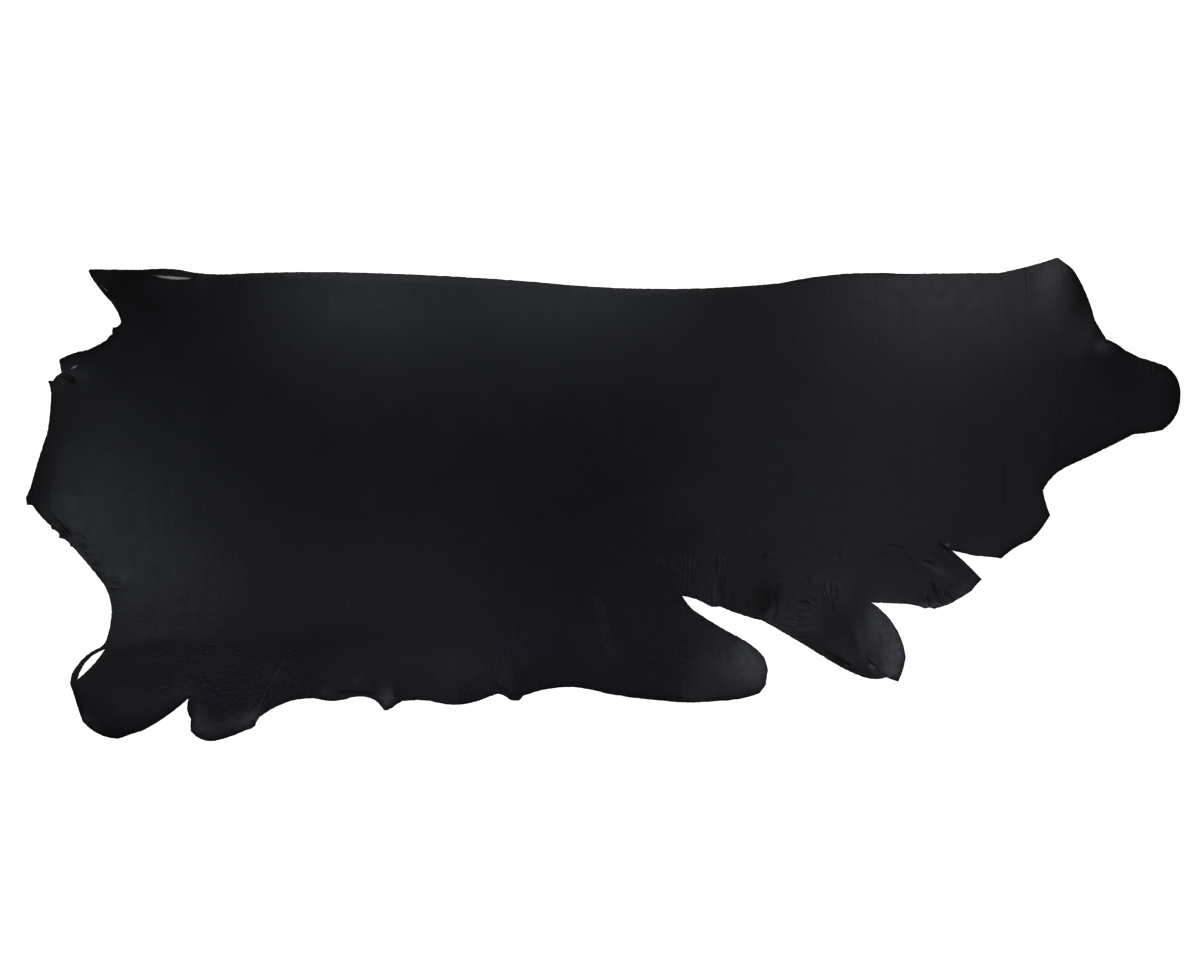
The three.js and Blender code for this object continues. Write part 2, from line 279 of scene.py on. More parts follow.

# Tone patches in millimetres, laid out as the swells are. The amount is the tone's share at the middle.
# The tables in turn: a pale grey painted sheen and painted highlight, an inky black painted shade where the
# hide lies in shadow, a violet with coarse grain, a slaty blue black, a grain that puckers, olive rim wear
# that is partly a painted highlight where the back's cut edge catches the light, and the tan of undyed
# leather.
Patch = namedtuple("Patch", "x y along across turn amount")
# Painted sheen and painted highlights, in a pale grey.
PAINTED_SHEEN = [
    # Brisket
    Patch(668, -325, 66, 26, 72, 1.0),
    Patch(630, -310, 75, 36, 80, 0.55),
    Patch(574, -318, 42, 9, 92, 0.22),
    Patch(650, -385, 22, 18, 0, 0.5),
    Patch(612, -278, 45, 26, 75, 0.35),
    Patch(605, -375, 6, 5, -40, 0.9),
    # The fan of the brisket, and the breast
    Patch(443, -271, 55, 40, 0, 0.33),
    Patch(373, -252, 16, 13, 45, 0.35),
    Patch(506, -204, 40, 25, 0, 0.18),
    Patch(450, -150, 240, 120, 0, 0.05),
    # Throat flap
    Patch(736, -242, 56, 11, 0, 0.75),
    Patch(796, -216, 40, 14, 36, 0.45),
    Patch(753, -159, 32, 10, -33, 0.3),
    Patch(842, -192, 24, 18, 45, 0.15),
    Patch(776, -104, 5, 4, 0, 0.9),
    Patch(742, -155, 30, 5, -28, 0.12),
    Patch(745, -195, 60, 35, -20, 0.08),
    Patch(800, -60, 120, 60, -20, 0.04),
    # Fore shank and elbow
    Patch(326, -366, 48, 30, 75, 0.62),
    Patch(263, -372, 60, 45, 0, 0.15),
    Patch(275, -325, 45, 25, -35, 0.13),
    Patch(345, -390, 30, 30, 0, 0.2),
    Patch(250, -207, 30, 3.5, 90, 0.2),
    Patch(190, -270, 60, 40, -30, 0.06),
    Patch(215, 10, 110, 70, 0, 0.04),
    Patch(60, -350, 200, 120, 0, 0.08),
    Patch(60, -190, 150, 110, 0, 0.05),
    # Flank and hind shank
    Patch(-914, -500, 26, 12, 80, 0.16),
    Patch(-800, -495, 26, 16, 40, 0.08),
    Patch(-862, -512, 60, 22, 5, 0.33),
    Patch(-745, -420, 75, 5, 60, 0.15),
    Patch(-1055, -460, 95, 45, 18, 0.12),
    Patch(-1160, -500, 24, 12, -45, 0.35),
    # Belly
    Patch(-486, -452, 22, 14, 90, 0.45),
    Patch(-311, -379, 90, 45, 0, 0.1),
    # Butt and rump
    Patch(-1166, -35, 120, 60, 70, 0.1),
    Patch(-1193, -1, 9, 8, 0, 0.1),
    Patch(-1078, -175, 20, 14, 60, 0.14),
    # Backbone
    Patch(-390, 498, 330, 8, -2, 0.3),
    Patch(-600, 507, 200, 6, 0, 0.3),
    Patch(110, 474, 130, 8, 0, 0.25),
    # Neck, poll and cheek
    Patch(1000, 496, 50, 20, 90, 0.25),
    Patch(1190, 210, 120, 110, 0, 0.05),
    Patch(1119, 346, 18, 12, 40, 0.5),
]
# Painted shade where the hide lies in shadow: the tail, the rolled butt rim, below the hock, the groin, and
# hollows and valleys.
PAINTED_SHADE = [
    Patch(-1064, 471, 130, 70, -15, 0.4),
    Patch(-1276, 44, 60, 18, 70, 0.8),
    Patch(-1000, -340, 125, 14, 3, 0.5),
    Patch(-650, -322, 210, 50, 6, 0.75),
    Patch(-862, -508, 36, 20, 85, 0.3),
    Patch(389, -240, 55, 9, 90, 0.4),
    Patch(352, -240, 40, 26, 70, 0.5),
    Patch(552, -335, 44, 15, 86, 0.8),
    Patch(530, -360, 60, 12, -33, 0.7),
    Patch(1066, 408, 48, 24, 75, 0.5),
    Patch(-735, -435, 65, 50, 0, 0.4),
]
BELLY = [
    Patch(-530, -290, 400, 190, 8, 0.9),
    Patch(-860, -440, 160, 110, 20, 0.6),
    Patch(-100, -360, 260, 110, 0, 0.6),
]
SLATY = [
    Patch(500, -120, 360, 150, 0, 0.9),
    Patch(-480, -140, 300, 90, 8, 0.35),
]
LOOSE = [
    Patch(450, -265, 75, 60, 20, 1.0),
    Patch(730, -205, 120, 50, -10, 0.6),
    Patch(215, -165, 75, 70, 0, 0.5),
    Patch(640, -320, 90, 50, 80, 0.3),
    Patch(-820, -430, 120, 70, 20, 0.25),
    Patch(-430, -420, 230, 45, 0, 0.4),
    Patch(-500, -215, 150, 60, 8, 0.6),
    Patch(500, -110, 220, 60, -5, 0.5),
]
# Olive wear along the back's cut edge, partly real wear and partly a painted highlight where the edge
# catches the light.
WORN_AND_HIGHLIGHT = [
    Patch(-547, 508, 380, 30, 0, 1.0),
    Patch(218, 486, 240, 30, 0, 0.8),
]
RAW = [
    Patch(-1128, 481, 6, 4, -40, 0.7),
]

# The photograph's frame: 2.25 mm to a pixel of 1200 by 960, centred a little off the hide's middle.
FRAME_WIDTH = 2.7
FRAME_MIDDLE = np.array((-0.007, 0.0437))
LENS = 85
SENSOR = 36
CAMERA_HEIGHT = THICKNESS + FRAME_WIDTH * LENS / SENSOR

# The floor, in metres and linear colour.
FLOOR_SIZE = 60
FLOOR_DROP = 0.0006
FLOOR_WHITE = (0.92, 0.92, 0.92, 1)
FLOOR_GLOW = 1.15

# Cards of paper that doesn't glow, a painted shadow of the hide on the glowing floor, which show through its
# small slits, in millimetres: the middle, the half length and half width, and the turn of the long way in
# degrees from +X. They lie between the floor and the hide.
CARD_DROP = FLOOR_DROP / 2
Card = namedtuple("Card", "x y along across turn")
CARDS = [
    Card(-967, 499, 56, 9, -4),
    Card(-1117, 470, 12, 5, -43),
    Card(-1190, 296, 15, 9, 30),
]

# The studio's soft surround, by height on a dome of radius 1.
Band = namedtuple("Band", "height brightness")
SURROUND = [
    Band(0.0, 0.4),
    Band(0.22, 0.5),
    Band(0.42, 0.45),
    Band(0.6, 0.14),
    Band(0.78, 0.045),
    Band(1.0, 0.02),
]
BRIGHTEST = max(band.brightness for band in SURROUND)

# The key light, in metres and watts.
KEY_PLACE = (-3.2, 1.2, 3.2)
KEY_SIZE = (1.0, 1.0)
KEY_WATTS = 4

# Linear colours of the lights.
COOL = (0.866, 0.912, 1.0)
PLAIN = (0.925, 0.915, 1.0)

# Weak softboxes overhead. Each shows as a sheen on the hide, whose middle and size are in millimetres, and
# hangs where the camera sees its mirror image there: lift is its height in metres.
Sheen = namedtuple("Sheen", "name x y width height lift watts colour")
SHEENS = [
    Sheen("backbone_sheen", -52, 543, 1575, 68, 1.6, 0.5, COOL),
    Sheen("loin_sheen", -550, 474, 250, 80, 1.2, 0.66, COOL),
    Sheen("back_sheen", -250, 494, 270, 68, 1.4, 0.3, COOL),
    Sheen("chine_sheen", -30, 500, 380, 40, 1.0, 0.52, COOL),
    Sheen("neck_sheen", 785, 500, 420, 60, 1.2, 1.25, PLAIN),
    Sheen("butt_sheen", -1154, 66, 113, 225, 1.4, 0.42, COOL),
    Sheen("rump_sheen", -1110, -136, 135, 158, 1.4, 0.56, COOL),
    Sheen("hip_sheen", -960, -205, 260, 120, 0.8, 0.13, COOL),
    Sheen("shoulder_sheen", 600, 60, 660, 405, 2.2, 1.75, COOL),
    Sheen("side_sheen", -480, -136, 630, 158, 2.0, 0.62, COOL),
    Sheen("belly_sheen", -440, -450, 420, 80, 1.4, 0.46, COOL),
    Sheen("fore_shank_sheen", 325, -382, 68, 90, 0.5, 0.12, COOL),
    Sheen("brisket_sheen", 612, -305, 90, 135, 0.9, 0.16, COOL),
]

# Linear colours of the leather, and of its painted sheen and painted shade.
BLACK = (0.0028, 0.0031, 0.0038, 1)
SOFT_BLACK = (0.0066, 0.0070, 0.0082, 1)
VIOLET = (0.0128, 0.0094, 0.0205, 1)
SLATE = (0.0092, 0.0090, 0.0165, 1)
# The pale grey of painted sheen and painted highlights.
PAINTED_SHEEN_GREY = (0.110, 0.110, 0.126, 1)
# The black of painted shade.
PAINTED_SHADE_BLACK = (0.0004, 0.0004, 0.0005, 1)
RAW_TAN = (0.09, 0.054, 0.038, 1)
# Olive wear at the back's rim, which is partly a painted highlight.
WORN_HIGHLIGHT_OLIVE = (0.042, 0.039, 0.029, 1)
CORE_BROWN = (0.045, 0.037, 0.030, 1)
CORE_BLACK = (0.015, 0.014, 0.014, 1)
NAP_DARK = (0.018, 0.018, 0.019, 1)
NAP_PALE = (0.045, 0.044, 0.046, 1)

# Noise in the leather: features to the metre, their detail, and how many times closer they lie on each axis.
# The usual range of its values follows.
Noise = namedtuple("Noise", "scale detail closer", defaults=[(1, 1, 1)])
CLOUD = Noise(9, 6)
MOTTLE = Noise(28, 2)
BLOTCH = Noise(42, 1)
FLECK = Noise(80, 4)
STREAK = Noise(1, 2, (110, 9, 30))
BELLY_GRAIN = Noise(120, 3)
LOOSE_GRAIN = Noise(140, 4)
FINE_GRAIN = Noise(1500, 2)
CORE = Noise(25, 3)
STRANDS = Noise(300, 4, (1, 1, 4))
BRUSHED = Noise(14, 4)
FIBRES = Noise(600, 4, (1, 0.3, 1))
PEBBLES_TO_THE_METRE = 700
NOISE_LOW = 0.3
NOISE_HIGH = 0.7

# How deep the relief of each is, in metres.
MOTTLE_DEPTH = 0.00012
STREAK_DEPTH = 0.0002
BELLY_DEPTH = 0.001
LOOSE_DEPTH = 0.0016
PEBBLE_DEPTH = 0.00004
FINE_DEPTH = 0.00001
STRAND_DEPTH = 0.0004
FIBRE_DEPTH = 0.0005

# Gloss, and how far the painted sheen is flecked.
GRAIN_ROUGHNESS = (0.32, 0.36)
CUT_ROUGHNESS = 0.85
NAP_ROUGHNESS = 0.95
PAPER_ROUGHNESS = 1.0
LEATHER_SPECULAR = 0.3
NAP_SPECULAR = 0.2
PAPER_SPECULAR = 0.0
NAP_SHEEN = 0.3
NAP_SHEEN_ROUGHNESS = 0.6
PAINTED_SHEEN_FLECKS = (0.6, 1)

# Socket places of Blender's colour mix node.
MIX_AMOUNT = 0
MIX_FIRST = 6
MIX_SECOND = 7
MIX_RESULT = 2


# The solid

def grain_faces(node):
    """The solid's faces on the grain side, in a mesh of their own with shared points."""
    work = bmesh.new()
    work.from_mesh(node.data)
    bmesh.ops.remove_doubles(work, verts=work.verts, dist=WELD_GAP)
    other = [face for face in work.faces if face.normal.z < UPWARD]
    bmesh.ops.delete(work, geom=other, context="FACES")
    return work


def edge_loops(work):
    """The closed loops of points around an open mesh, the longest first."""
    following = {}
    for edge in work.edges:
        if edge.is_boundary:
            loop = edge.link_loops[0]
            following[loop.vert] = loop.link_loop_next.vert
    loops = []
    while following:
        first, point = following.popitem()
        loop = [first.co.copy()]
        while point != first:
            loop.append(point.co.copy())
            point = following.pop(point)
        loops.append(np.array(loop))
    return sorted(loops, key=len, reverse=True)


def height_under(tree, x, y):
    """The height of the solid's grain side at a place, or None off the hide."""
    return tree.ray_cast(Vector((x, y, HIGH)), Vector((0, 0, -1)))[0]


def soft_heights(tree, points):
    """The solid's grain side at each point, as the mean over rings, so that its facets don't show."""
    angles = np.arange(RING_POINTS) * 2 * np.pi / RING_POINTS
    ring = np.column_stack([np.cos(angles), np.sin(angles)])
    offsets = np.vstack([[(0, 0)]] + [ring * radius for radius in SOFT_RINGS])
    heights = np.empty(len(points))
    for index, point in enumerate(points):
        hits = [height_under(tree, *place) for place in point + offsets]
        found = [hit.z for hit in hits if hit is not None]
        heights[index] = np.mean(found) if found else tree.find_nearest((*point, 0))[0].z
    return heights


# Points of the sheet

def even_steps(loop, step):
    """Points at even steps around a loop, with its corners kept."""
    before = loop - np.roll(loop, 1, axis=0)
    after = np.roll(loop, -1, axis=0) - loop
    cross = before[:, 0] * after[:, 1] - before[:, 1] * after[:, 0]
    turn = np.arctan2(cross, (before * after).sum(axis=1))
    corners = np.flatnonzero(np.abs(turn) > CORNER_TURN)
    start = corners[0] if len(corners) else 0
    chain = np.roll(loop, -start, axis=0)
    chain = np.vstack([chain, chain[:1]])
    lengths = np.concatenate([[0], np.cumsum(np.linalg.norm(np.diff(chain, axis=0), axis=1))])
    stops = [*lengths[corners - start], lengths[-1]]
    places = []
    for low, high in zip(stops[:-1], stops[1:]):
        count = max(1, round((high - low) / step))
        places.extend(np.linspace(low, high, count, endpoint=False))
    return np.column_stack([np.interp(places, lengths, chain[:, axis]) for axis in range(2)])


def outward(loop):
    """The directions that lead out of the leather, square to a loop that has the leather on its left."""
    along = np.roll(loop, -1, axis=0) - np.roll(loop, 1, axis=0)
    along /= np.linalg.norm(along, axis=1)[:, None]
    return np.column_stack([along[:, 1], -along[:, 0]])


def lattice(step, low, high):
    """Points of a triangular lattice that fills a box. Boxes that overlap share their points."""
    tall = step * ROW_SHARE
    columns = np.arange(np.floor(low[0] / step), np.ceil(high[0] / step))
    rows = np.arange(np.floor(low[1] / tall), np.ceil(high[1] / tall))
    column, row = np.meshgrid(columns, rows)
    return np.column_stack([(column + row % 2 / 2).ravel() * step, row.ravel() * tall])


def loosened(points, step, random):
    """Points of a lattice, each moved a little out of line."""
    return points + random.uniform(-JITTER, JITTER, points.shape) * step


def clear_of(points, taken, gap):
    """The points that keep a gap from those already taken."""
    tree = KDTree(len(taken))
    for index, place in enumerate(taken):
        tree.insert((*place, 0), index)
    tree.balance()
    return points[[tree.find((*point, 0))[2] > gap for point in points]]


# Creases

def bunch_creases(random):
    """The single wrinkles of the bunches, each a little out of line with its neighbours."""
    creases = []
    for bunch in BUNCHES:
        for index, share in enumerate(np.linspace(0, 1, bunch.count)):
            stray = random.normal(0, bunch.length * STRAY_SHARE, 2)
            middle = bowed(bunch, np.array([share]))[0] / MM + stray
            turn = np.radians(bunch.turn + bunch.fan * share + random.normal(0, STRAY_TURN))
            half = bunch.length * random.uniform(*HALF_LENGTHS) * np.array((np.cos(turn), np.sin(turn)))
            bow = random.normal(0, bunch.length * STRAY_BOW)
            width = bunch.width * random.uniform(*WIDTHS)
            depth = bunch.depth * random.uniform(*DEPTHS)
            if index % 2:
                depth *= -RIDGE_SHARE
            creases.append(Crease(*(middle - half), *(middle + half), bow, width, depth))
    return creases


def bowed(row, share):
    """Places in metres at shares of the way from a row's point 1 to its point 2."""
    start = np.array((row.x1, row.y1)) * MM
    end = np.array((row.x2, row.y2)) * MM
    way = end - start
    left = np.array((-way[1], way[0])) / np.hypot(*way)
    control = (start + end) / 2 + left * 2 * row.bow * MM
    share = share[:, None]
    return start * (1 - share) ** 2 + 2 * control * share * (1 - share) + end * share ** 2


def crease_length(crease):
    """The straight length of a crease, in crease widths."""
    return np.hypot(crease.x2 - crease.x1, crease.y2 - crease.y1) / crease.width


def crease_chain(crease):
    """Points along a crease, in metres, that waver about its bow."""
    length = crease_length(crease)
    share = np.linspace(0, 1, FEWEST_POINTS + int(length / CHAIN_STEP))
    chain = bowed(crease, share)
    along = np.gradient(chain, axis=0)
    left = np.column_stack([-along[:, 1], along[:, 0]]) / np.linalg.norm(along, axis=1)[:, None]
    phase = crease.x1 + crease.y2
    waver = np.sin(2 * np.pi * share * length / WAVE_LENGTH + phase)
    return chain + left * (waver * WAVER_SHARE * crease.width * MM)[:, None]


def crease_places(points, crease):
    """The points near a crease, how far from it they lie in crease widths, and their share of its way."""
    chain = crease_chain(crease)
    reach = CREASE_REACH * crease.width * MM
    inside = (points > chain.min(axis=0) - reach) & (points < chain.max(axis=0) + reach)
    near = np.flatnonzero(inside.all(axis=1))
    across = np.full(len(near), np.inf)
    along = np.zeros(len(near))
    for index, (start, end) in enumerate(zip(chain[:-1], chain[1:])):
        way = end - start
        share = np.clip((points[near] - start) @ way / (way @ way), 0, 1)
        gap = np.linalg.norm(points[near] - start - share[:, None] * way, axis=1) / (crease.width * MM)
        closer = gap < across
        across[closer] = gap[closer]
        along[closer] = (index + share[closer]) / (len(chain) - 1)
    return near, across, along


def crease_step(crease):
    """How far apart the sheet's points stand near a crease."""
    if abs(crease.depth) > GROOVE_SHARE * crease.width:
        return CREASE_STEPS[0]
    fitting = [step for step in CREASE_STEPS if step <= STEP_SHARE * crease.width * MM]
    return max(fitting, default=CREASE_STEPS[0])


def near_creases(points, creases):
    """True for each point in reach of a crease."""
    found = np.zeros(len(points), bool)
    for crease in creases:
        near, across, _ = crease_places(points, crease)
        found[near[across < CREASE_REACH]] = True
    return found


def strength_along(crease, along):
    """How a crease's depth wanders on its way and fades at its ends."""
    phase = crease.x2 + crease.y1
    wander = np.sin(2 * np.pi * along * crease_length(crease) / WANDER_LENGTH + phase)
    return np.sin(np.pi * along) ** TAPER * (1 + WANDER_SHARE * wander)


def crease_heights(points, creases):
    """How far the creases raise each point."""
    heights = np.zeros(len(points))
    for crease in creases:
        near, across, along = crease_places(points, crease)
        trough = np.exp(-across ** 2)
        shoulders = SHOULDER_SHARE * np.exp(-(across - SHOULDER_PLACE) ** 2)
        fade = np.clip(1 - (across / CREASE_REACH) ** 2, 0, 1)
        heights[near] -= crease.depth * MM * strength_along(crease, along) * (trough - shoulders) * fade
    return heights


def crease_tones(points, creases):
    """How far each point gets a painted highlight on ridges or painted shade in troughs, as two shares."""
    light = np.zeros(len(points))
    dark = np.zeros(len(points))
    for crease in creases:
        near, across, along = crease_places(points, crease)
        full = min(1, abs(crease.depth) / (TONE_SHARE * crease.width))
        share = full * strength_along(crease, along) * np.exp(-across ** 2)
        side = dark if crease.depth > 0 else light
        side[near] = np.maximum(side[near], share)
    return light, dark


def bells(points, rows):
    """For each row of a table of swells or patches, a bell over the points, which is 1 at its middle."""
    for row in rows:
        turn = np.radians(row.turn)
        offset = points - np.array((row.x, row.y)) * MM
        along = offset @ (np.cos(turn), np.sin(turn)) / (row.along * MM)
        across = offset @ (-np.sin(turn), np.cos(turn)) / (row.across * MM)
        yield row, np.exp(-along ** 2 - across ** 2)


def swell_heights(points):
    """How far the small swells and hollows raise each point."""
    return sum(row.rise * MM * bell for row, bell in bells(points, SWELLS))


def swell_tones(points):
    """How far each point gets a painted highlight on swells or painted shade in hollows, as two shares."""
    light = sum(max(0, row.rise) / TONE_RISE * bell for row, bell in bells(points, SWELLS))
    dark = sum(max(0, -row.rise) / TONE_RISE * bell for row, bell in bells(points, SWELLS))
    return light, dark


def tone(points, rows):
    """The share of a tone at each point."""
    return sum(row.amount * bell for row, bell in bells(points, rows))


# The sheet

def triangles_in(points, loops, tree):
    """Triangles over the points inside the loops, without those that bridge a bay or a slit."""
    edges = []
    first = 0
    for loop in loops:
        count = len(loop)
        edges.extend((first + index, first + (index + 1) % count) for index in range(count))
        first += count
    places = [Vector(point) for point in points]
    _, _, faces, *_ = delaunay_2d_cdt(places, edges, [], INSIDE_LOOPS, SAME_POINT)
    kept = []
    for face in faces:
        middle = points[list(face)].mean(axis=0)
        if min(face) >= first or height_under(tree, *middle) is not None:
            kept.append(list(face))
    return kept


def on_hide(points, tree):
    """The points that lie over the solid."""
    return points[[height_under(tree, *point) is not None for point in points]]


def lattice_along(creases, step):
    """The points of a lattice near any of some creases."""
    patches = [np.empty((0, 2))]
    for crease in creases:
        chain = crease_chain(crease)
        reach = CREASE_REACH * crease.width * MM
        points = lattice(step, chain.min(axis=0) - reach, chain.max(axis=0) + reach)
        patches.append(points[near_creases(points, [crease])])
    return np.unique(np.vstack(patches), axis=0)


def sheet_points(loops, tree, creases, random):
    """The sheet's points in plan: the edge loops, their rim, and lattices that are finer near creases."""
    edge = np.vstack(loops)
    out = np.vstack([outward(loop) for loop in loops])
    rim = clear_of(edge - out * RIM_WIDTH, edge, RIM_WIDTH * RIM_CLEARANCE)
    taken = np.vstack([edge, rim])
    inner = []
    finer = []
    for step in CREASE_STEPS:
        here = [crease for crease in creases if crease_step(crease) == step]
        points = lattice_along(here, step)
        inner.append((points[~near_creases(points, finer)], step))
        finer += here
    plain = lattice(PLAIN_STEP, edge.min(axis=0), edge.max(axis=0))
    inner.append((plain[~near_creases(plain, creases)], PLAIN_STEP))
    clear = [taken]
    for points, step in inner:
        clear.append(clear_of(on_hide(loosened(points, step, random), tree), taken, CLEARANCE * step))
    return np.vstack(clear), len(taken)


def flesh_points(plan, rim_count, edge_count, tree):
    """Which of the sheet's points the flesh side keeps: the edge, and those nearest to a wide lattice."""
    finder = KDTree(len(plan))
    for index in range(rim_count, len(plan)):
        finder.insert((*plan[index], 0), index)
    finder.balance()
    wide = on_hide(lattice(UNDER_STEP, plan.min(axis=0), plan.max(axis=0)), tree)
    chosen = sorted({finder.find((*point, 0))[1] for point in wide})
    return [*range(edge_count), *chosen]


def wall_faces(loops, middle_start, flesh_start):
    """The cut edge's faces, from the grain side to a ring at mid thickness and on to the flesh side."""
    faces = []
    first = 0
    for loop in loops:
        count = len(loop)
        for index in range(count):
            a = first + index
            b = first + (index + 1) % count
            faces.append([a, middle_start + a, middle_start + b, b])
            faces.append([middle_start + a, flesh_start + a, flesh_start + b, middle_start + b])
        first += count
    return faces


def frayed_loops(solid, random):
    """The hide's edge loops in plan, at even steps and ragged from the knife."""
    loops = [even_steps(loop[:, :2], EDGE_STEP) for loop in edge_loops(solid)]
    for loop in loops:
        loop += outward(loop) * random.normal(0, FIBRE_REACH, len(loop))[:, None]
    return loops


def sheet_layers(plan, heights, loops, kept):
    """The points of the grain side, of the ring at mid thickness and of the flesh side."""
    bulge = np.vstack([outward(loop) for loop in loops]) * FIBRE_REACH
    edge = slice(len(bulge))
    grain = np.column_stack([plan, heights])
    grain[edge, 2] -= RIM_DROP
    flesh = np.column_stack([plan, np.maximum(heights - THICKNESS, 0)])[kept]
    middle = (grain[edge] + flesh[edge]) / 2
    middle[:, :2] += bulge
    return grain, middle, flesh


def hide_mesh(node):
    """The hide: grain side, cut edge and flesh side as one closed sheet."""
    random = np.random.default_rng(SEED)
    solid = grain_faces(node)
    tree = BVHTree.FromBMesh(solid)
    loops = frayed_loops(solid, random)
    solid.free()
    creases = CREASES + bunch_creases(random)
    plan, rim_count = sheet_points(loops, tree, creases, random)
    heights = soft_heights(tree, plan) + crease_heights(plan, creases) + swell_heights(plan)
    heights = np.maximum(heights, THINNEST)

    edge_count = sum(len(loop) for loop in loops)
    kept = flesh_points(plan, rim_count, edge_count, tree)
    grain, middle, flesh = sheet_layers(plan, heights, loops, kept)
    points = np.vstack([grain, middle, flesh])
    flesh_start = len(grain) + len(middle)
    grain_side = triangles_in(plan, loops, tree)
    cut_side = wall_faces(loops, len(grain), flesh_start)
    flesh_faces = triangles_in(plan[kept], loops, tree)
    flesh_side = [[flesh_start + corner for corner in face[::-1]] for face in flesh_faces]
    mesh = bpy.data.meshes.new("hide")
    mesh.from_pydata(points.tolist(), [], grain_side + cut_side + flesh_side)
    counts = (len(grain_side), len(cut_side), len(flesh_side))
    mesh.polygons.foreach_set("material_index", np.repeat(np.arange(len(counts)), counts))
    mesh.shade_smooth()
    add_tones(mesh, points[:, :2], rim_count, creases)
    return mesh


def add_tones(mesh, plan, rim_count, creases):
    """Keeps the tones on the mesh's points, for the materials to read."""
    ridges, troughs = crease_tones(plan, creases)
    swells, hollows = swell_tones(plan)
    rim = np.arange(len(plan)) < rim_count
    # Olive wear on the back's rim, partly a painted highlight; the rim's painted shade is left off there.
    worn_and_highlight = np.clip(tone(plan, WORN_AND_HIGHLIGHT), 0, 1) * rim
    tones = {
        # Painted sheen, with painted highlights on the tops of ridges and swells.
        "painted_sheen": tone(plan, PAINTED_SHEEN) + PAINTED_HIGHLIGHT_SHARE * (ridges + swells),
        # Painted shade in the shaded patches, the troughs, the hollows and along the rim, save where the
        # back's edge is lit.
        "painted_shade": tone(plan, PAINTED_SHADE) + troughs + hollows + RIM_SHADE * (rim - worn_and_highlight),
        "belly": tone(plan, BELLY),
        "slaty": tone(plan, SLATY),
        "loose": tone(plan, LOOSE),
        "worn_and_highlight": worn_and_highlight,
        "raw": tone(plan, RAW),
    }
    for name, values in tones.items():
        layer = mesh.attributes.new(name, "FLOAT", "POINT")
        layer.data.foreach_set("value", np.clip(values, 0, 1).astype(np.float32))


# Materials

def new_material(name):
    """An empty material with its shader node and node tree."""
    material = bpy.data.materials.new(name)
    material.use_nodes = True
    tree = material.node_tree
    return material, tree, tree.nodes["Principled BSDF"]


def noise(tree, kind):
    """Soft noise of a kind, in the part's own metres."""
    place = tree.nodes.new("ShaderNodeTexCoord")
    mapping = tree.nodes.new("ShaderNodeMapping")
    mapping.inputs["Scale"].default_value = kind.closer
    texture = tree.nodes.new("ShaderNodeTexNoise")
    texture.inputs["Scale"].default_value = kind.scale
    texture.inputs["Detail"].default_value = kind.detail
    tree.links.new(place.outputs["Object"], mapping.inputs["Vector"])
    tree.links.new(mapping.outputs["Vector"], texture.inputs["Vector"])
    return texture.outputs["Fac"]


def cells(tree, scale):
    """The distance from the middles of small cells, for grain pebbles."""
    place = tree.nodes.new("ShaderNodeTexCoord")
    texture = tree.nodes.new("ShaderNodeTexVoronoi")
    texture.inputs["Scale"].default_value = scale
    tree.links.new(place.outputs["Object"], texture.inputs["Vector"])
    return texture.outputs["Distance"]


def stored(tree, name):
    """A tone kept on the mesh's points."""
    node = tree.nodes.new("ShaderNodeAttribute")
    node.attribute_name = name
    return node.outputs["Fac"]


def spread(tree, value, limits=(0, 1)):
    """A noise value carried from its usual range to the range between the limits."""
    low, high = limits
    node = tree.nodes.new("ShaderNodeMapRange")
    node.inputs["From Min"].default_value = NOISE_LOW
    node.inputs["From Max"].default_value = NOISE_HIGH
    node.inputs["To Min"].default_value = low
    node.inputs["To Max"].default_value = high
    tree.links.new(value, node.inputs["Value"])
    return node.outputs["Result"]


def product(tree, first, second):
    """Two values multiplied."""
    node = tree.nodes.new("ShaderNodeMath")
    node.operation = "MULTIPLY"
    tree.links.new(first, node.inputs[0])
    tree.links.new(second, node.inputs[1])
    return node.outputs["Value"]


def mixed(tree, amount, first, second):
    """A colour mixed between two; each is a colour or a socket that gives one."""
    node = tree.nodes.new("ShaderNodeMix")
    node.data_type = "RGBA"
    tree.links.new(amount, node.inputs[MIX_AMOUNT])
    for place, colour in ((MIX_FIRST, first), (MIX_SECOND, second)):
        if isinstance(colour, tuple):
            node.inputs[place].default_value = colour
        else:
            tree.links.new(colour, node.inputs[place])
    return node.outputs[MIX_RESULT]


def bumped(tree, shader, heights):
    """Gives a shader its relief from rows of (height socket, depth in metres), coarse to fine."""
    normal = None
    for height, depth in heights:
        bump = tree.nodes.new("ShaderNodeBump")
        bump.inputs["Distance"].default_value = depth
        tree.links.new(height, bump.inputs["Height"])
        if normal is not None:
            tree.links.new(normal, bump.inputs["Normal"])
        normal = bump.outputs["Normal"]
    tree.links.new(normal, shader.inputs["Normal"])


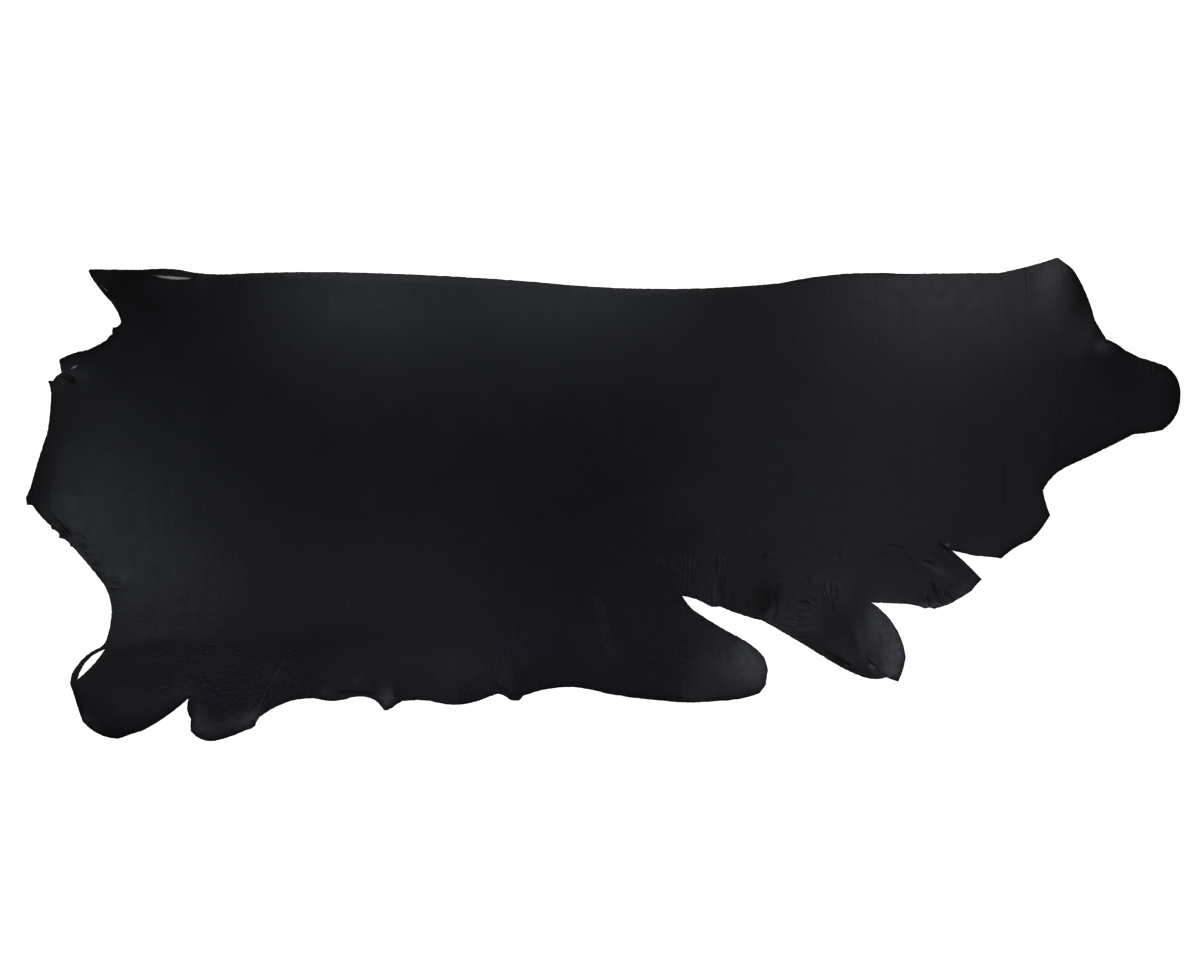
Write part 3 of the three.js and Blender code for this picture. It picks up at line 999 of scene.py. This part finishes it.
def grain_leather():
    """Black drum-dyed grain: satin, mottled, looser and violet towards the belly, worn olive at the cut and
    partly a painted highlight there, with painted sheen and painted shade laid on in places.
    """
    material, tree, shader = new_material("grain_leather")
    fleck = noise(tree, FLECK)
    belly = stored(tree, "belly")
    loose = stored(tree, "loose")
    # Painted sheen and painted highlights, flecked.
    painted_sheen = product(tree, stored(tree, "painted_sheen"), spread(tree, fleck, PAINTED_SHEEN_FLECKS))
    worn_and_highlight = product(tree, stored(tree, "worn_and_highlight"), spread(tree, fleck))
    colour = mixed(tree, spread(tree, noise(tree, CLOUD)), BLACK, SOFT_BLACK)
    colour = mixed(tree, stored(tree, "slaty"), colour, SLATE)
    colour = mixed(tree, belly, colour, VIOLET)
    colour = mixed(tree, painted_sheen, colour, PAINTED_SHEEN_GREY)
    # Painted shade in troughs, hollows, shaded places and along the rim.
    colour = mixed(tree, stored(tree, "painted_shade"), colour, PAINTED_SHADE_BLACK)
    # Olive wear at the back's rim, partly a painted highlight.
    colour = mixed(tree, worn_and_highlight, colour, WORN_HIGHLIGHT_OLIVE)
    colour = mixed(tree, stored(tree, "raw"), colour, RAW_TAN)
    tree.links.new(colour, shader.inputs["Base Color"])
    tree.links.new(spread(tree, noise(tree, BLOTCH), GRAIN_ROUGHNESS), shader.inputs["Roughness"])
    shader.inputs["Specular IOR Level"].default_value = LEATHER_SPECULAR
    bumped(tree, shader, [
        (noise(tree, MOTTLE), MOTTLE_DEPTH),
        (noise(tree, STREAK), STREAK_DEPTH),
        (product(tree, noise(tree, BELLY_GRAIN), belly), BELLY_DEPTH),
        (product(tree, noise(tree, LOOSE_GRAIN), loose), LOOSE_DEPTH),
        (cells(tree, PEBBLES_TO_THE_METRE), PEBBLE_DEPTH),
        (noise(tree, FINE_GRAIN), FINE_DEPTH),
    ])
    return material


def cut_edge():
    """The raw cut: dyed nearly through, with a browner core in places and fibres along the cut."""
    material, tree, shader = new_material("cut_edge")
    colour = mixed(tree, spread(tree, noise(tree, CORE)), CORE_BLACK, CORE_BROWN)
    tree.links.new(colour, shader.inputs["Base Color"])
    shader.inputs["Roughness"].default_value = CUT_ROUGHNESS
    shader.inputs["Specular IOR Level"].default_value = LEATHER_SPECULAR
    bumped(tree, shader, [(noise(tree, STRANDS), STRAND_DEPTH)])
    return material


def flesh_nap():
    """The flesh side: a short charcoal nap, brushed this way and that."""
    material, tree, shader = new_material("flesh_nap")
    colour = mixed(tree, spread(tree, noise(tree, BRUSHED)), NAP_DARK, NAP_PALE)
    tree.links.new(colour, shader.inputs["Base Color"])
    shader.inputs["Roughness"].default_value = NAP_ROUGHNESS
    shader.inputs["Specular IOR Level"].default_value = NAP_SPECULAR
    shader.inputs["Sheen Weight"].default_value = NAP_SHEEN
    shader.inputs["Sheen Roughness"].default_value = NAP_SHEEN_ROUGHNESS
    bumped(tree, shader, [(noise(tree, FIBRES), FIBRE_DEPTH)])
    return material


def paper(name, glow):
    """Plain white paper, lit from below as on a light table where it glows."""
    material, _, shader = new_material(name)
    shader.inputs["Base Color"].default_value = FLOOR_WHITE
    shader.inputs["Emission Color"].default_value = FLOOR_WHITE
    shader.inputs["Emission Strength"].default_value = glow
    shader.inputs["Roughness"].default_value = PAPER_ROUGHNESS
    shader.inputs["Specular IOR Level"].default_value = PAPER_SPECULAR
    return material


# Scene

def add_object(name, data):
    """A new object in the scene."""
    item = bpy.data.objects.new(name, data)
    bpy.context.scene.collection.objects.link(item)
    return item


def make_hide(node):
    """The leather side itself, in place of its plain solid."""
    hide = add_object("hide", hide_mesh(node))
    for material in (grain_leather(), cut_edge(), flesh_nap()):
        hide.data.materials.append(material)
    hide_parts("leather_side")
    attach(hide, "root")


def make_card(name, card, drop, material):
    """A card of paper, level, as far under the hide as the drop."""
    turn = np.radians(card.turn)
    along = np.array((np.cos(turn), np.sin(turn))) * card.along
    across = np.array((-np.sin(turn), np.cos(turn))) * card.across
    corners = [-along - across, along - across, along + across, across - along]
    points = [(*(np.array((card.x, card.y)) + corner) * MM, -drop) for corner in corners]
    mesh = bpy.data.meshes.new(name)
    mesh.from_pydata(points, [], [(0, 1, 2, 3)])
    mesh.materials.append(material)
    add_object(name, mesh)


def make_floor():
    """A wide white floor just under the hide, and unlit cards under the small slits as a painted shadow."""
    half = FLOOR_SIZE / 2 / MM
    make_card("floor", Card(0, 0, half, half, 0), FLOOR_DROP, paper("floor_paper", FLOOR_GLOW))
    # Paper that doesn't glow, standing in for the hide's shadow on the glowing floor.
    shaded = paper("shaded_paper", 0)
    for card in CARDS:
        make_card("shaded_card", card, CARD_DROP, shaded)


def make_surround():
    """A bright soft wall of light all round, and a dim ceiling that the hide mirrors upwards."""
    world = bpy.data.worlds.new("studio")
    world.use_nodes = True
    tree = world.node_tree
    place = tree.nodes.new("ShaderNodeTexCoord")
    split = tree.nodes.new("ShaderNodeSeparateXYZ")
    ramp = tree.nodes.new("ShaderNodeValToRGB")
    stops = ramp.color_ramp.elements
    while len(stops) < len(SURROUND):
        stops.new(1)
    for stop, band in zip(stops, SURROUND):
        stop.position = band.height
        stop.color = (*[band.brightness / BRIGHTEST] * 3, 1)
    background = tree.nodes["Background"]
    background.inputs["Strength"].default_value = BRIGHTEST
    tree.links.new(place.outputs["Generated"], split.inputs["Vector"])
    tree.links.new(split.outputs["Z"], ramp.inputs["Fac"])
    tree.links.new(ramp.outputs["Color"], background.inputs["Color"])
    bpy.context.scene.world = world


def softbox(name, place, size, watts, colour):
    """A soft rectangular light that faces down, out of the camera's sight."""
    light = bpy.data.lights.new(name, "AREA")
    light.shape = "RECTANGLE"
    light.size, light.size_y = size
    light.energy = watts
    light.color = colour
    item = add_object(name, light)
    item.location = place
    item.visible_camera = False
    return item


def make_lights():
    """A key light from the butt side, and weak softboxes overhead that draw the sheen."""
    key = softbox("key", KEY_PLACE, KEY_SIZE, KEY_WATTS, COOL)
    key.rotation_euler = (-key.location).to_track_quat("-Z", "Y").to_euler()
    for sheen in SHEENS:
        spread_out = (CAMERA_HEIGHT + sheen.lift) / CAMERA_HEIGHT
        image = np.array((sheen.x, sheen.y)) * MM
        place = FRAME_MIDDLE + (image - FRAME_MIDDLE) * spread_out
        size = np.array((sheen.width, sheen.height)) * MM * spread_out
        softbox(sheen.name, (*place, sheen.lift), size, sheen.watts, sheen.colour)


def make_camera():
    """A camera straight above, at the photograph's framing."""
    data = bpy.data.cameras.new("camera")
    data.lens = LENS
    data.sensor_width = SENSOR
    camera = add_object("camera", data)
    camera.location = (*FRAME_MIDDLE, CAMERA_HEIGHT)
    bpy.context.scene.camera = camera


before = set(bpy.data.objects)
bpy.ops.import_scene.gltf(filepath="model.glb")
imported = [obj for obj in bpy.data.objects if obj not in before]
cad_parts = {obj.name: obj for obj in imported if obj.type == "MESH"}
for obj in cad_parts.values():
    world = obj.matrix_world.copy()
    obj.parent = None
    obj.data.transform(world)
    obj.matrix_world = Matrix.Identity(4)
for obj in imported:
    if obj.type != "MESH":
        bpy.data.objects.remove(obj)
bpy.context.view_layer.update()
bpy.context.scene.view_settings.view_transform = "Standard"
make_camera()
make_surround()
make_lights()
make_floor()
make_hide(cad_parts["leather_side"])
